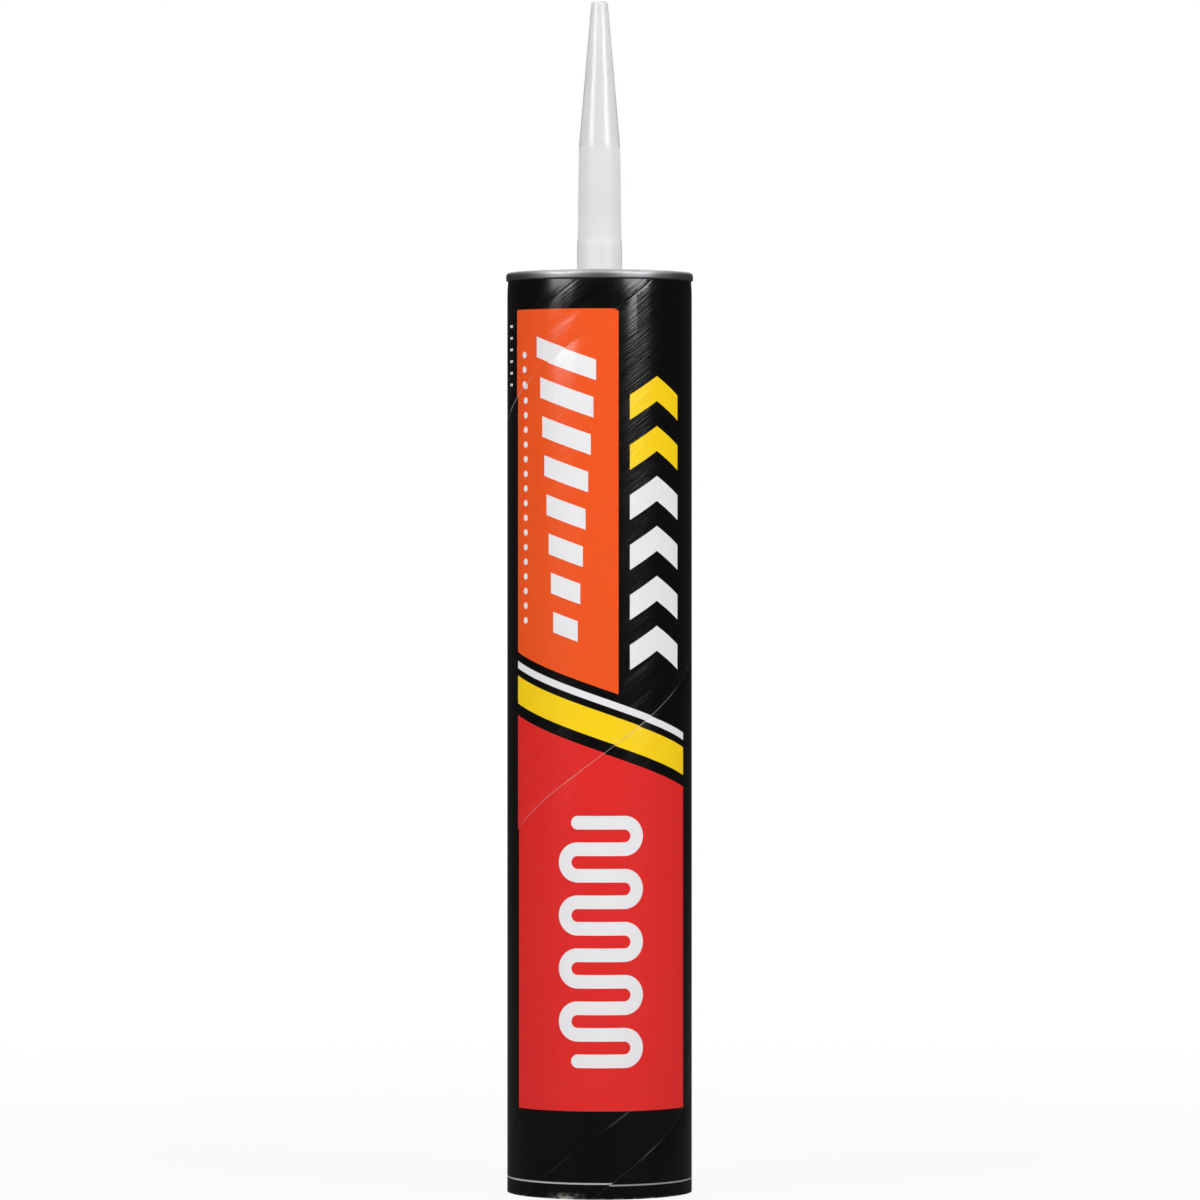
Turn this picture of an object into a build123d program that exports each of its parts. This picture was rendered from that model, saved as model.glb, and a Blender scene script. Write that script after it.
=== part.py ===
from build123d import *
import os
from math import sqrt

os.makedirs("parts", exist_ok=True)

# Construction adhesive cartridge in millimetres, +Z up, standing on the open foot of its tube.
# The front, where the label's main panel is, faces -Y.

# Wound fibre tube and its printed label
tube_outer_d = 63.5        # over the label
tube_wall = 1.6            # label included
body_height = 316.0        # foot of the tube to the top of the rolled rim
label_thickness = 0.15
seam_lead = 148.0          # rise of the label's spiral seam in one turn
seam_gap = 0.3             # open joint between two turns of the label
seam_front_height = 2.3    # where the seam crosses the front

# Stamped tinplate end, rolled over the top of the tube
sheet = 0.3
rim_overhang = 0.42        # rim proud of the label
rim_height = 3.2
rim_crown_r = 1.5          # outer bend of the rim
rim_land = 0.1             # flat top between the outer and the inner bend
rim_curl_r = 0.6
crimp_bite = 0.35          # how far the rim's curl presses into the tube
panel_depth = 3.6          # panel below the top of the rim
panel_corner_r = 0.6
bead_inner_d = 34.0        # stiffening bead pressed up in the panel
bead_outer_d = 46.0
bead_height = 0.8
bead_bend_r = 0.4

# Moulded nozzle, clipped into the panel's hole
collar_base_d = 15.6
collar_top_d = 15.35
collar_length = 13.8       # panel to the small step
step_length = 1.6
shank_base_d = 14.95
shank_top_d = 14.1
shank_length = 33.0        # small step to the start of the taper
tip_d = 5.6
taper_length = 50.2
tip_edge_r = 1.2
taper_edge_r = 1.5
nozzle_wall = 1.3
tip_wall = 2.5             # closed tip, cut open in use
clip_groove = 0.25         # depth of the groove that holds the panel's edge
flange_d = 26.0
flange_thickness = 1.4

# Foil disc under the nozzle, pierced in use
seal_d = 20.0
seal_thickness = 0.12

# Moulded plunger in the foot of the tube
plunger_recess = 5.5       # foot of the tube to the plunger's skirt
skirt_height = 14.0
crown_rise = 3.0
crown_thickness = 1.8
wiper_height = 2.4
wiper_relief = 0.7         # skirt set back between its two wipers
ram_socket_wall = 2.45     # wiper to the socket that takes the gun's ram
ram_socket_depth = 9.0
rib_seat_width = 0.7       # ledge at the end of the socket
rib_count = 8
rib_thickness = 1.4
drive_ring_d = 32.0        # middle of the ring that the ram presses on
drive_ring_width = 2.0
hub_d = 12.0

# Clearances
seat_clearance = 0.05      # glued, seamed, clipped and filled faces
slide_clearance = 0.1      # plunger in its bore
soft_clearance = 0.3       # adhesive to the moving plunger

# Radii and levels that several pieces share
tube_r = tube_outer_d / 2
glue_r = tube_r - label_thickness
core_r = glue_r - seat_clearance
bore_r = tube_r - tube_wall
rim_r = tube_r + rim_overhang
rim_foot_z = body_height - rim_height
label_top_z = rim_foot_z - seat_clearance
crimp_r = core_r - crimp_bite
chuck_r = bore_r - seat_clearance - sheet
rim_chuck_r = rim_r - chuck_r - rim_crown_r - rim_land
panel_z = body_height - panel_depth
collar_r = collar_base_d / 2
neck_r = collar_r - clip_groove
hole_r = neck_r + seat_clearance
flange_top_z = panel_z - sheet - seat_clearance
flange_foot_z = flange_top_z - flange_thickness
seal_foot_z = flange_foot_z - seal_thickness
wiper_r = bore_r - slide_clearance
crown_edge_z = plunger_recess + skirt_height
dome_r = (wiper_r**2 + crown_rise**2) / (2 * crown_rise)
dome_centre_z = crown_edge_z + crown_rise - dome_r


def dome_point(radius, outward=0.0):
    """Point of the plunger's domed crown, or of a surface that far outside it."""
    return (radius, dome_centre_z + sqrt((dome_r + outward) ** 2 - radius**2))


# Tube: plain bore, with its top edge crimped and flared out into the rolled rim
rim_skin = sheet + seat_clearance
flare_foot_z = rim_foot_z + rim_skin
flare_r = rim_r - rim_skin
tube_top_z = body_height - rim_skin

with BuildPart() as tube:
    with BuildSketch(Plane.XZ):
        with BuildLine():
            FilletPolyline(
                (bore_r, 0),
                (core_r, 0),
                (core_r, label_top_z),
                (crimp_r, label_top_z),
                (crimp_r, flare_foot_z),
                (flare_r, flare_foot_z + flare_r - crimp_r),
                (flare_r, tube_top_z),
                (bore_r, tube_top_z),
                radius=[0] * 6 + [rim_crown_r - rim_skin, rim_chuck_r - rim_skin],
                close=True,
            )
        make_face()
    revolve(axis=Axis.Z)
tube.part.label = "tube"
export_step(tube.part, "parts/tube.step")

# Label: one printed strip wound up the tube, with an open spiral joint between its turns
seam_start_z = seam_front_height + seam_lead / 4 - seam_lead

with BuildPart() as label:
    with BuildSketch():
        Circle(tube_r)
        Circle(glue_r, mode=Mode.SUBTRACT)
    extrude(amount=label_top_z)
    with BuildLine() as seam:
        Helix(seam_lead, label_top_z + 2 * seam_lead, tube_r, center=(0, 0, seam_start_z))
    with BuildSketch(Plane(seam.line @ 0, x_dir=(1, 0, 0), z_dir=seam.line % 0)):
        Rectangle(4 * label_thickness, seam_gap)
    sweep(path=seam.line, is_frenet=True, mode=Mode.SUBTRACT)
label.part.label = "label"
export_step(label.part, "parts/label.step")

# Metal end: one sheet from the nozzle's hole, over the bead and the rim, to the curl under it
bead_in_r = bead_inner_d / 2
bead_out_r = bead_outer_d / 2
bead_z = panel_z + bead_height
curl_r = crimp_r + seat_clearance

with BuildPart() as metal_end:
    with BuildSketch(Plane.XZ):
        with BuildLine():
            FilletPolyline(
                (hole_r, panel_z),
                (bead_in_r, panel_z),
                (bead_in_r + bead_height, bead_z),
                (bead_out_r - bead_height, bead_z),
                (bead_out_r, panel_z),
                (chuck_r, panel_z),
                (chuck_r, body_height),
                (rim_r, body_height),
                (rim_r, rim_foot_z),
                (curl_r, rim_foot_z),
                radius=[bead_bend_r] * 4 + [panel_corner_r, rim_chuck_r, rim_crown_r, rim_curl_r],
            )
            offset(amount=sheet, side=Side.RIGHT)
        make_face()
    revolve(axis=Axis.Z)
metal_end.part.label = "metal_end"
export_step(metal_end.part, "parts/metal_end.step")

# Nozzle: hollow, closed at its tip, with a flange under the panel and a groove for its edge
step_z = panel_z + collar_length
taper_z = step_z + shank_length
tip_z = taper_z + taper_length
tip_r = tip_d / 2
shank_top_r = shank_top_d / 2
duct_end_z = tip_z - tip_wall
duct_end_r = tip_r + (shank_top_r - tip_r) * tip_wall / taper_length - nozzle_wall

with BuildPart() as nozzle:
    with BuildSketch(Plane.XZ):
        with BuildLine():
            FilletPolyline(
                (neck_r - nozzle_wall, flange_foot_z),
                (flange_d / 2, flange_foot_z),
                (flange_d / 2, flange_top_z),
                (neck_r, flange_top_z),
                (neck_r, panel_z + seat_clearance),
                (collar_r, panel_z + seat_clearance),
                (collar_top_d / 2, step_z),
                (shank_base_d / 2, step_z + step_length),
                (shank_top_r, taper_z),
                (tip_r, tip_z),
                (0, tip_z),
                (0, duct_end_z),
                (duct_end_r, duct_end_z),
                (shank_top_r - nozzle_wall, taper_z),
                radius=[0] * 8 + [taper_edge_r, tip_edge_r] + [0] * 4,
                close=True,
            )
        make_face()
    revolve(axis=Axis.Z)
nozzle.part.label = "nozzle"
export_step(nozzle.part, "parts/nozzle.step")

# Inner seal: foil disc bonded over the nozzle's mouth
with BuildPart() as inner_seal:
    with BuildSketch(Plane.XY.offset(seal_foot_z)):
        Circle(seal_d / 2)
    extrude(amount=seal_thickness)
inner_seal.part.label = "inner_seal"
export_step(inner_seal.part, "parts/inner_seal.step")

# Plunger: domed cup with two wipers, and ribs inside that carry the push of the gun's ram
socket_r = wiper_r - ram_socket_wall
well_r = socket_r - rib_seat_width
rib_z = plunger_recess + ram_socket_depth
relief_r = wiper_r - wiper_relief
lower_wiper_z = plunger_recess + wiper_height
upper_wiper_z = crown_edge_z - wiper_height
rib_reach_r = (socket_r + well_r) / 2
drive_ring_r = drive_ring_d / 2

with BuildPart() as plunger:
    with BuildSketch(Plane.XY.offset(rib_z)):
        Circle(drive_ring_r + drive_ring_width / 2)
        Circle(drive_ring_r - drive_ring_width / 2, mode=Mode.SUBTRACT)
        Circle(hub_d / 2)
        with PolarLocations(rib_reach_r / 2, rib_count):
            Rectangle(rib_reach_r, rib_thickness)
    extrude(amount=crown_edge_z + crown_rise - rib_z)
    with BuildSketch(Plane.XZ):
        with BuildLine():
            Polyline(
                dome_point(rib_reach_r, -crown_thickness / 2),
                (rib_reach_r, rib_z),
                (0, rib_z),
                dome_point(0, -crown_thickness / 2),
            )
            ThreePointArc(
                dome_point(0, -crown_thickness / 2),
                dome_point(rib_reach_r / 2, -crown_thickness / 2),
                dome_point(rib_reach_r, -crown_thickness / 2),
            )
        make_face()
    revolve(axis=Axis.Z, mode=Mode.INTERSECT)
    with BuildSketch(Plane.XZ):
        with BuildLine():
            ThreePointArc(
                dome_point(0, -crown_thickness),
                dome_point(well_r / 2, -crown_thickness),
                dome_point(well_r, -crown_thickness),
            )
            Polyline(
                dome_point(well_r, -crown_thickness),
                (well_r, rib_z),
                (socket_r, rib_z),
                (socket_r, plunger_recess),
                (wiper_r, plunger_recess),
                (wiper_r, lower_wiper_z),
                (relief_r, lower_wiper_z + wiper_relief),
                (relief_r, upper_wiper_z - wiper_relief),
                (wiper_r, upper_wiper_z),
                (wiper_r, crown_edge_z),
            )
            ThreePointArc((wiper_r, crown_edge_z), dome_point(wiper_r / 2), dome_point(0))
            Line(dome_point(0), dome_point(0, -crown_thickness))
        make_face()
    revolve(axis=Axis.Z)
plunger.part.label = "plunger"
export_step(plunger.part, "parts/plunger.step")

# Adhesive: the soft fill, from the plunger's dome to the seal under the nozzle
fill_r = bore_r - seat_clearance
fill_top_z = seal_foot_z - seat_clearance

with BuildPart() as adhesive:
    with BuildSketch(Plane.XZ):
        with BuildLine():
            ThreePointArc(
                dome_point(0, soft_clearance),
                dome_point(fill_r / 2, soft_clearance),
                dome_point(fill_r, soft_clearance),
            )
            Polyline(
                dome_point(fill_r, soft_clearance),
                (fill_r, fill_top_z),
                (0, fill_top_z),
                dome_point(0, soft_clearance),
            )
        make_face()
    revolve(axis=Axis.Z)
adhesive.part.label = "adhesive"
export_step(adhesive.part, "parts/adhesive.step")
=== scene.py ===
import math

import bmesh
import bpy
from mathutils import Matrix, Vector


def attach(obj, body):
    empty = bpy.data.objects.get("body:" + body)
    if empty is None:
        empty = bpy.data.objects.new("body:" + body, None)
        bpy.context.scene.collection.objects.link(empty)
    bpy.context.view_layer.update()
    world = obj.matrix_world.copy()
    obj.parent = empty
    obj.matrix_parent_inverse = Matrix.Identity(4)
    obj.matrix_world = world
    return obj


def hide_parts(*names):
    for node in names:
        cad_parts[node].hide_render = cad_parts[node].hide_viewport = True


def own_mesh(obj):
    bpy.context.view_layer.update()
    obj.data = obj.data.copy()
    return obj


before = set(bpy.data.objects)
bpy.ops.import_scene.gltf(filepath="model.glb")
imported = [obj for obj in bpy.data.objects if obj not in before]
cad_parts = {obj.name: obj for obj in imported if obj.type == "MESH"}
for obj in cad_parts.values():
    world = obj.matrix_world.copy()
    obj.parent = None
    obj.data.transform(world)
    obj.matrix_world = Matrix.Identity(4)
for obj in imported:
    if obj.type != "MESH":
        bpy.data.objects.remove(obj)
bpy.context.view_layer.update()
mm = 0.001
fullTurn = 2 * math.pi


# tools for shaping

def deselectAll():
    if bpy.context.mode != "OBJECT":
        bpy.ops.object.mode_set(mode="OBJECT")
    bpy.ops.object.select_all(action="DESELECT")


def makeActive(piece):
    deselectAll()
    piece.select_set(True)
    bpy.context.view_layer.objects.active = piece


def applyModifier(piece, kind, **settings):
    makeActive(piece)
    modifier = piece.modifiers.new(kind.lower(), kind)
    for name, value in settings.items():
        setattr(modifier, name, value)
    bpy.ops.object.modifier_apply(modifier=modifier.name)


# corners are (radius, height, rounding) in mm, and each rounding becomes a short arc
def roundedPath(corners, arcSteps=6):
    path = []
    for i, (radius, height, rounding) in enumerate(corners):
        corner = Vector((radius, height))
        if not rounding:
            path.append(corner)
            continue
        back = (Vector(corners[i - 1][:2]) - corner).normalized()
        ahead = (Vector(corners[i + 1][:2]) - corner).normalized()
        half = back.angle(ahead) / 2
        centre = corner + (back + ahead).normalized() * (rounding / math.sin(half))
        start = corner + back * (rounding / math.tan(half)) - centre
        end = corner + ahead * (rounding / math.tan(half)) - centre
        sweep = start.angle(end)
        for k in range(arcSteps + 1):
            t = k / arcSteps
            arm = start * math.sin((1 - t) * sweep) + end * math.sin(t * sweep)
            path.append(centre + arm / math.sin(sweep))
    return path


# one vertex drawn along the path, as an edge in the XZ plane
def drawPath(name, path):
    deselectAll()
    bpy.ops.mesh.primitive_plane_add(size=mm)
    piece = bpy.context.object
    piece.name = name
    piece.data.name = name
    bpy.ops.object.mode_set(mode="EDIT")
    bpy.ops.mesh.merge(type="CENTER")
    bpy.ops.transform.translate(value=(path[0][0] * mm, 0, path[0][1] * mm))
    for here, there in zip(path, path[1:]):
        move = ((there[0] - here[0]) * mm, 0, (there[1] - here[1]) * mm)
        bpy.ops.mesh.extrude_vertices_move(TRANSFORM_OT_translate={"value": move})
    bpy.ops.object.mode_set(mode="OBJECT")
    return piece


def turnPath(name, path, steps):
    piece = drawPath(name, path)
    bpy.ops.object.mode_set(mode="EDIT")
    bpy.ops.mesh.select_all(action="SELECT")
    bpy.ops.mesh.spin(steps=steps, angle=fullTurn, center=(0, 0, 0), axis=(0, 0, 1))
    bpy.ops.mesh.select_all(action="SELECT")
    bpy.ops.mesh.remove_doubles(threshold=0.003 * mm)
    bpy.ops.mesh.normals_make_consistent(inside=False)
    bpy.ops.object.mode_set(mode="OBJECT")
    return piece


# an open sheet has no inside, so its outer side is named by a point and a direction there
def faceOutward(piece, point, direction):
    bpy.context.view_layer.update()
    found, spot, normal, index = piece.closest_point_on_mesh(Vector(point) * mm)
    if normal.dot(Vector(direction)) < 0:
        makeActive(piece)
        bpy.ops.object.mode_set(mode="EDIT")
        bpy.ops.mesh.select_all(action="SELECT")
        bpy.ops.mesh.flip_normals()
        bpy.ops.object.mode_set(mode="OBJECT")


def cutFlat(piece, height, above):
    makeActive(piece)
    bpy.ops.object.mode_set(mode="EDIT")
    bpy.ops.mesh.select_all(action="SELECT")
    bpy.ops.mesh.bisect(plane_co=(0, 0, height * mm), plane_no=(0, 0, 1),
                        clear_outer=above, clear_inner=not above)
    bpy.ops.object.mode_set(mode="OBJECT")


def finishPiece(piece, node, material, body="cartridge", sharpAngle=35):
    makeActive(piece)
    bpy.ops.object.shade_smooth_by_angle(angle=math.radians(sharpAngle))
    piece.data.materials.clear()
    piece.data.materials.append(material)
    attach(piece, body)
    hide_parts(node)
    print(piece.name, "faces", len(piece.data.polygons))


# tools for materials

def screenColour(red, green, blue):
    def linear(level):
        level /= 255
        return level / 12.92 if level <= 0.04045 else ((level + 0.055) / 1.055) ** 2.4
    return (linear(red), linear(green), linear(blue), 1)


def addNode(tree, kind, settings=None, inputs=None):
    node = tree.nodes.new(kind)
    for name, value in (settings or {}).items():
        setattr(node, name, value)
    for name, value in (inputs or {}).items():
        if isinstance(value, bpy.types.NodeSocket):
            tree.links.new(value, node.inputs[name])
        else:
            node.inputs[name].default_value = value
    return node


def newMaterial(name, **sockets):
    material = bpy.data.materials.new(name)
    material.use_nodes = True
    tree = material.node_tree
    tree.nodes.clear()
    shader = addNode(tree, "ShaderNodeBsdfPrincipled")
    for socket, value in sockets.items():
        shader.inputs[socket.replace("_", " ")].default_value = value
    output = addNode(tree, "ShaderNodeOutputMaterial")
    tree.links.new(shader.outputs[0], output.inputs["Surface"])
    return material, tree, shader


def maths(tree, operation, first, second=0.0):
    return addNode(tree, "ShaderNodeMath", {"operation": operation}, {0: first, 1: second}).outputs[0]


# 0 below low and 1 above high, or the other way round
def ramp(tree, value, low, high, fromValue=0.0, toValue=1.0):
    inputs = {"Value": value, "From Min": low, "From Max": high, "To Min": fromValue, "To Max": toValue}
    return addNode(tree, "ShaderNodeMapRange", inputs=inputs).outputs[0]


def band(tree, value, low, high, soft=0.06):
    rising = ramp(tree, value, low - soft, low + soft)
    falling = ramp(tree, value, high - soft, high + soft, 1.0, 0.0)
    return maths(tree, "MULTIPLY", rising, falling)


def both(tree, *masks):
    joined = masks[0]
    for mask in masks[1:]:
        joined = maths(tree, "MULTIPLY", joined, mask)
    return joined


def paint(tree, base, mask, colour):
    return addNode(tree, "ShaderNodeMix", {"data_type": "RGBA"}, {0: mask, 6: base, 7: colour}).outputs[2]


def noise(tree, vector, scale, detail=2.0, roughness=0.5):
    inputs = {"Vector": vector, "Scale": scale, "Detail": detail, "Roughness": roughness}
    return addNode(tree, "ShaderNodeTexNoise", inputs=inputs).outputs[0]


def stretch(tree, vector, scale):
    return addNode(tree, "ShaderNodeMapping", inputs={"Vector": vector, "Scale": scale}).outputs[0]


def bump(tree, height, distance, normal=None):
    inputs = {"Height": height, "Distance": distance * mm, "Strength": 1.0}
    if normal:
        inputs["Normal"] = normal
    return addNode(tree, "ShaderNodeBump", inputs=inputs).outputs[0]


def mixShaders(tree, mask, first, second):
    inputs = {0: mask, 1: first.outputs[0], 2: second.outputs[0]}
    return addNode(tree, "ShaderNodeMixShader", inputs=inputs)


def objectPlace(tree):
    return addNode(tree, "ShaderNodeTexCoord").outputs["Object"]


# height in mm, angle from the front and distance from the axis in mm
def roundPlace(tree, place):
    axes = addNode(tree, "ShaderNodeSeparateXYZ", inputs={0: place}).outputs
    height = maths(tree, "DIVIDE", axes["Z"], mm)
    angle = maths(tree, "ARCTAN2", axes["X"], maths(tree, "MULTIPLY", axes["Y"], -1.0))
    flat = addNode(tree, "ShaderNodeCombineXYZ", inputs={0: axes["X"], 1: axes["Y"]}).outputs[0]
    away = addNode(tree, "ShaderNodeVectorMath", {"operation": "LENGTH"}, {0: flat}).outputs["Value"]
    return height, angle, maths(tree, "DIVIDE", away, mm)


# the same at every angle, for marks that run round the axis
def turnedPlace(tree, away, height):
    return addNode(tree, "ShaderNodeCombineXYZ", inputs={0: away, 1: height}).outputs[0]


# lines of the winding become upright, so grain can run along them
def unwind(tree, place, height, lead):
    turn = maths(tree, "MULTIPLY", height, -fullTurn / lead)
    return addNode(tree, "ShaderNodeVectorRotate", {"rotation_type": "Z_AXIS"},
                   {"Vector": place, "Angle": turn}).outputs[0]


# printed wrap: one strip wound up the tube

wrap = {
    "radius": 31.75,
    "thickness": 0.15,
    "top": 312.75,
    "lead": 148.0,              # rise of the strip in one turn
    "frontHeight": 2.3,         # where the seam crosses the front
    "gap": 0.05,
    "foot": 0.02,
    "edgeRound": 0.04,          # how far the strip's cut edges dip, and over which width
    "edgeWidth": 0.3,
    "plySeams": (9.5, 20.0),    # joints of the plies below, above the seam
    "plyDepth": 0.04,
    "plyWidth": 0.5,
    "neckFoot": 307.25,         # the seaming pulls the tube in under the rim
    "neckDepth": 0.25,
    "neckCuts": 5,
    "scuff": (-0.48, -0.26),    # rubbed place on the foot, in radians from the front
    "frayed": (                 # foot, top and strength where the cut edge shows white
        (267.0, 279.0, 0.7),
        (127.0, 173.0, 0.42),
        (14.0, 18.5, 0.3),
    ),
    "plainRows": (30.0, 50.0, 70.0, 90.0, 110.0, 130.0),    # rows of the mesh, above the seam
    "stepsPerTurn": 180,
}

artwork = {
    "black": screenColour(9, 8, 8),
    "red": screenColour(219, 40, 38),
    "orange": screenColour(233, 84, 30),
    "yellow": screenColour(244, 205, 20),
    "white": screenColour(228, 227, 230),
    "paper": screenColour(190, 186, 182),
    "left": -33.3,              # the fields' edges, along the surface from the front
    "right": 35.5,
    "slant": -0.35,             # rise of the slanted edges
    "redFoot": 30.0,
    "redTop": 152.0,
    "stripes": ((156.0, 165.5, "yellow"), (168.0, 170.5, "white")),
    "orangeRight": 7.2,
    "orangeFoot": 173.5,
    "orangeTop": 301.5,
    "ring": (5.15, 5.65),
    "registerAround": 0.7,      # how far the print is out at each turn
    "registerUp": 0.55,
}
bead = {"centre": 0.5, "foot": 47.0, "pitch": 9.0, "runs": 10, "reach": 8.0, "stroke": 4.6}
chevrons = {"centre": 21.7, "foot": 190.0, "pitch": 17.0, "count": 6, "whiteCount": 4,
            "thick": 8.5, "halfWidth": 10.5, "slope": 0.62}
bars = {"centre": -11.3, "foot": 190.0, "pitch": 13.0, "count": 8, "thick": 7.0,
        "halfWidth": 4.5, "grow": 0.9}
dots = {"centre": -28.4, "foot": 196.0, "pitch": 5.0, "count": 19, "radius": 1.1}
ticks = {"left": -39.8, "right": -37.0, "foot": 276.0, "pitch": 4.0, "count": 6, "thick": 0.9}

backRows = {"left": -23.0, "right": 23.0, "gutter": 3.6, "foot": 62.0, "pitch": 4.4, "count": 41,
            "thick": 1.2, "ragged": 7.0, "paragraph": 7, "ink": screenColour(128, 127, 128)}
backStripes = ((250.0, 256.0, "yellow"), (258.0, 259.5, "white"), (52.0, 53.5, "orange"))


# distance from a line of glue laid to and fro: straight runs with half-circle turns
def beadDistance(tree, across, up):
    def calc(operation, first, second=0.0):
        return maths(tree, operation, first, second)
    reach, pitch = bead["reach"], bead["pitch"]
    side = calc("SUBTRACT", across, bead["centre"])
    row = calc("DIVIDE", calc("SUBTRACT", up, bead["foot"]), pitch)
    nearRow = calc("MINIMUM", calc("MAXIMUM", calc("ROUND", row), 0.0), bead["runs"] - 1.0)
    offRow = calc("MULTIPLY", calc("SUBTRACT", row, nearRow), pitch)
    pastEnd = calc("MAXIMUM", calc("SUBTRACT", calc("ABSOLUTE", side), reach), 0.0)
    nearest = calc("SQRT", calc("ADD", calc("POWER", pastEnd, 2.0), calc("MULTIPLY", offRow, offRow)))
    for direction, first in ((1.0, 0.5), (-1.0, 1.5)):
        pair = calc("ROUND", calc("DIVIDE", calc("SUBTRACT", row, first), 2.0))
        lastPair = float((bead["runs"] - (2 if direction > 0 else 3)) // 2)
        pair = calc("MINIMUM", calc("MAXIMUM", pair, 0.0), lastPair)
        middle = calc("ADD", calc("MULTIPLY", pair, 2.0), first)
        offMiddle = calc("MULTIPLY", calc("SUBTRACT", row, middle), pitch)
        out = calc("SUBTRACT", calc("MULTIPLY", side, direction), reach)
        squares = calc("ADD", calc("MULTIPLY", out, out), calc("MULTIPLY", offMiddle, offMiddle))
        turn = calc("ABSOLUTE", calc("SUBTRACT", calc("SQRT", squares), pitch / 2))
        nearest = calc("MINIMUM", nearest, calc("MAXIMUM", turn, calc("MULTIPLY", out, -50.0)))
    return nearest


# row number and distance from the row's middle, for marks that repeat up the tube
def rowsOf(tree, up, marks):
    row = maths(tree, "DIVIDE", maths(tree, "SUBTRACT", up, marks["foot"]), marks["pitch"])
    number = maths(tree, "ROUND", row)
    away = maths(tree, "MULTIPLY", maths(tree, "SUBTRACT", row, number), marks["pitch"])
    inCount = band(tree, number, -0.5, marks["count"] - 0.5, 0.1)
    return number, away, inCount


def printedArtwork(tree, across, up):
    def calc(operation, first, second=0.0):
        return maths(tree, operation, first, second)
    art = artwork
    slanted = calc("SUBTRACT", up, calc("MULTIPLY", across, art["slant"]))
    panel = band(tree, across, art["left"], art["right"])
    redField = both(tree, panel, ramp(tree, up, art["redFoot"] - 0.06, art["redFoot"] + 0.06),
                    band(tree, slanted, 0.0, art["redTop"]))
    colour = paint(tree, art["black"], redField, art["red"])
    for low, high, ink in art["stripes"]:
        colour = paint(tree, colour, both(tree, panel, band(tree, slanted, low, high)), art[ink])
    orangeField = both(tree, band(tree, across, art["left"], art["orangeRight"]),
                       ramp(tree, slanted, art["orangeFoot"] - 0.06, art["orangeFoot"] + 0.06),
                       ramp(tree, up, art["orangeTop"] - 0.06, art["orangeTop"] + 0.06, 1.0, 0.0))
    colour = paint(tree, colour, orangeField, art["orange"])

    glue = band(tree, beadDistance(tree, across, up), -1.0, bead["stroke"] / 2)
    colour = paint(tree, colour, glue, art["white"])

    side = calc("ABSOLUTE", calc("SUBTRACT", across, chevrons["centre"]))
    lift = calc("ADD", up, calc("MULTIPLY", side, chevrons["slope"]))
    number, away, inCount = rowsOf(tree, lift, chevrons)
    chevron = both(tree, inCount, band(tree, away, -chevrons["thick"] / 2, chevrons["thick"] / 2),
                   band(tree, side, -1.0, chevrons["halfWidth"]))
    upper = ramp(tree, number, chevrons["whiteCount"] - 0.6, chevrons["whiteCount"] - 0.4)
    colour = paint(tree, colour, chevron, paint(tree, art["white"], upper, art["yellow"]))

    number, away, inCount = rowsOf(tree, slanted, bars)
    half = calc("ADD", calc("MULTIPLY", number, bars["grow"]), bars["halfWidth"])
    side = calc("SUBTRACT", calc("ABSOLUTE", calc("SUBTRACT", across, bars["centre"])), half)
    bar = both(tree, inCount, band(tree, away, -bars["thick"] / 2, bars["thick"] / 2),
               band(tree, side, -99.0, 0.0))
    colour = paint(tree, colour, bar, art["white"])

    number, away, inCount = rowsOf(tree, up, dots)
    side = calc("SUBTRACT", across, dots["centre"])
    radius = calc("SQRT", calc("ADD", calc("MULTIPLY", side, side), calc("MULTIPLY", away, away)))
    dot = both(tree, inCount, band(tree, radius, -1.0, dots["radius"]))
    colour = paint(tree, colour, dot, art["white"])

    number, away, inCount = rowsOf(tree, up, ticks)
    tick = both(tree, inCount, band(tree, away, -ticks["thick"] / 2, ticks["thick"] / 2),
                band(tree, across, ticks["left"], ticks["right"]))
    return paint(tree, colour, tick, art["white"])


# two columns of plain bars between stripes
def printedBack(tree, colour, around, up):
    def calc(operation, first, second=0.0):
        return maths(tree, operation, first, second)
    rows = backRows
    panel = band(tree, around, rows["left"], rows["right"])
    for low, high, ink in backStripes:
        colour = paint(tree, colour, both(tree, panel, band(tree, up, low, high)), artwork[ink])
    number, away, inCount = rowsOf(tree, up, rows)
    second = calc("GREATER_THAN", around, 0.0)
    width = (rows["right"] - rows["left"] - rows["gutter"]) / 2
    within = calc("SUBTRACT", around, calc("MULTIPLY", second, width + rows["gutter"]))
    within = calc("SUBTRACT", within, rows["left"])
    spare = calc("FRACT", calc("ADD", calc("MULTIPLY", number, 0.37), calc("MULTIPLY", second, 0.21)))
    past = calc("SUBTRACT", within, calc("SUBTRACT", width, calc("MULTIPLY", spare, rows["ragged"])))
    line = calc("MODULO", calc("ADD", number, 0.5), float(rows["paragraph"]))
    bar = both(tree, inCount, ramp(tree, line, 0.9, 1.1),
               band(tree, away, -rows["thick"] / 2, rows["thick"] / 2),
               ramp(tree, within, -0.06, 0.06), ramp(tree, past, -0.06, 0.06, 1.0, 0.0))
    head = ramp(tree, line, rows["paragraph"] - 1.1, rows["paragraph"] - 0.9)
    return paint(tree, colour, bar, paint(tree, rows["ink"], head, artwork["orange"]))


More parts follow.
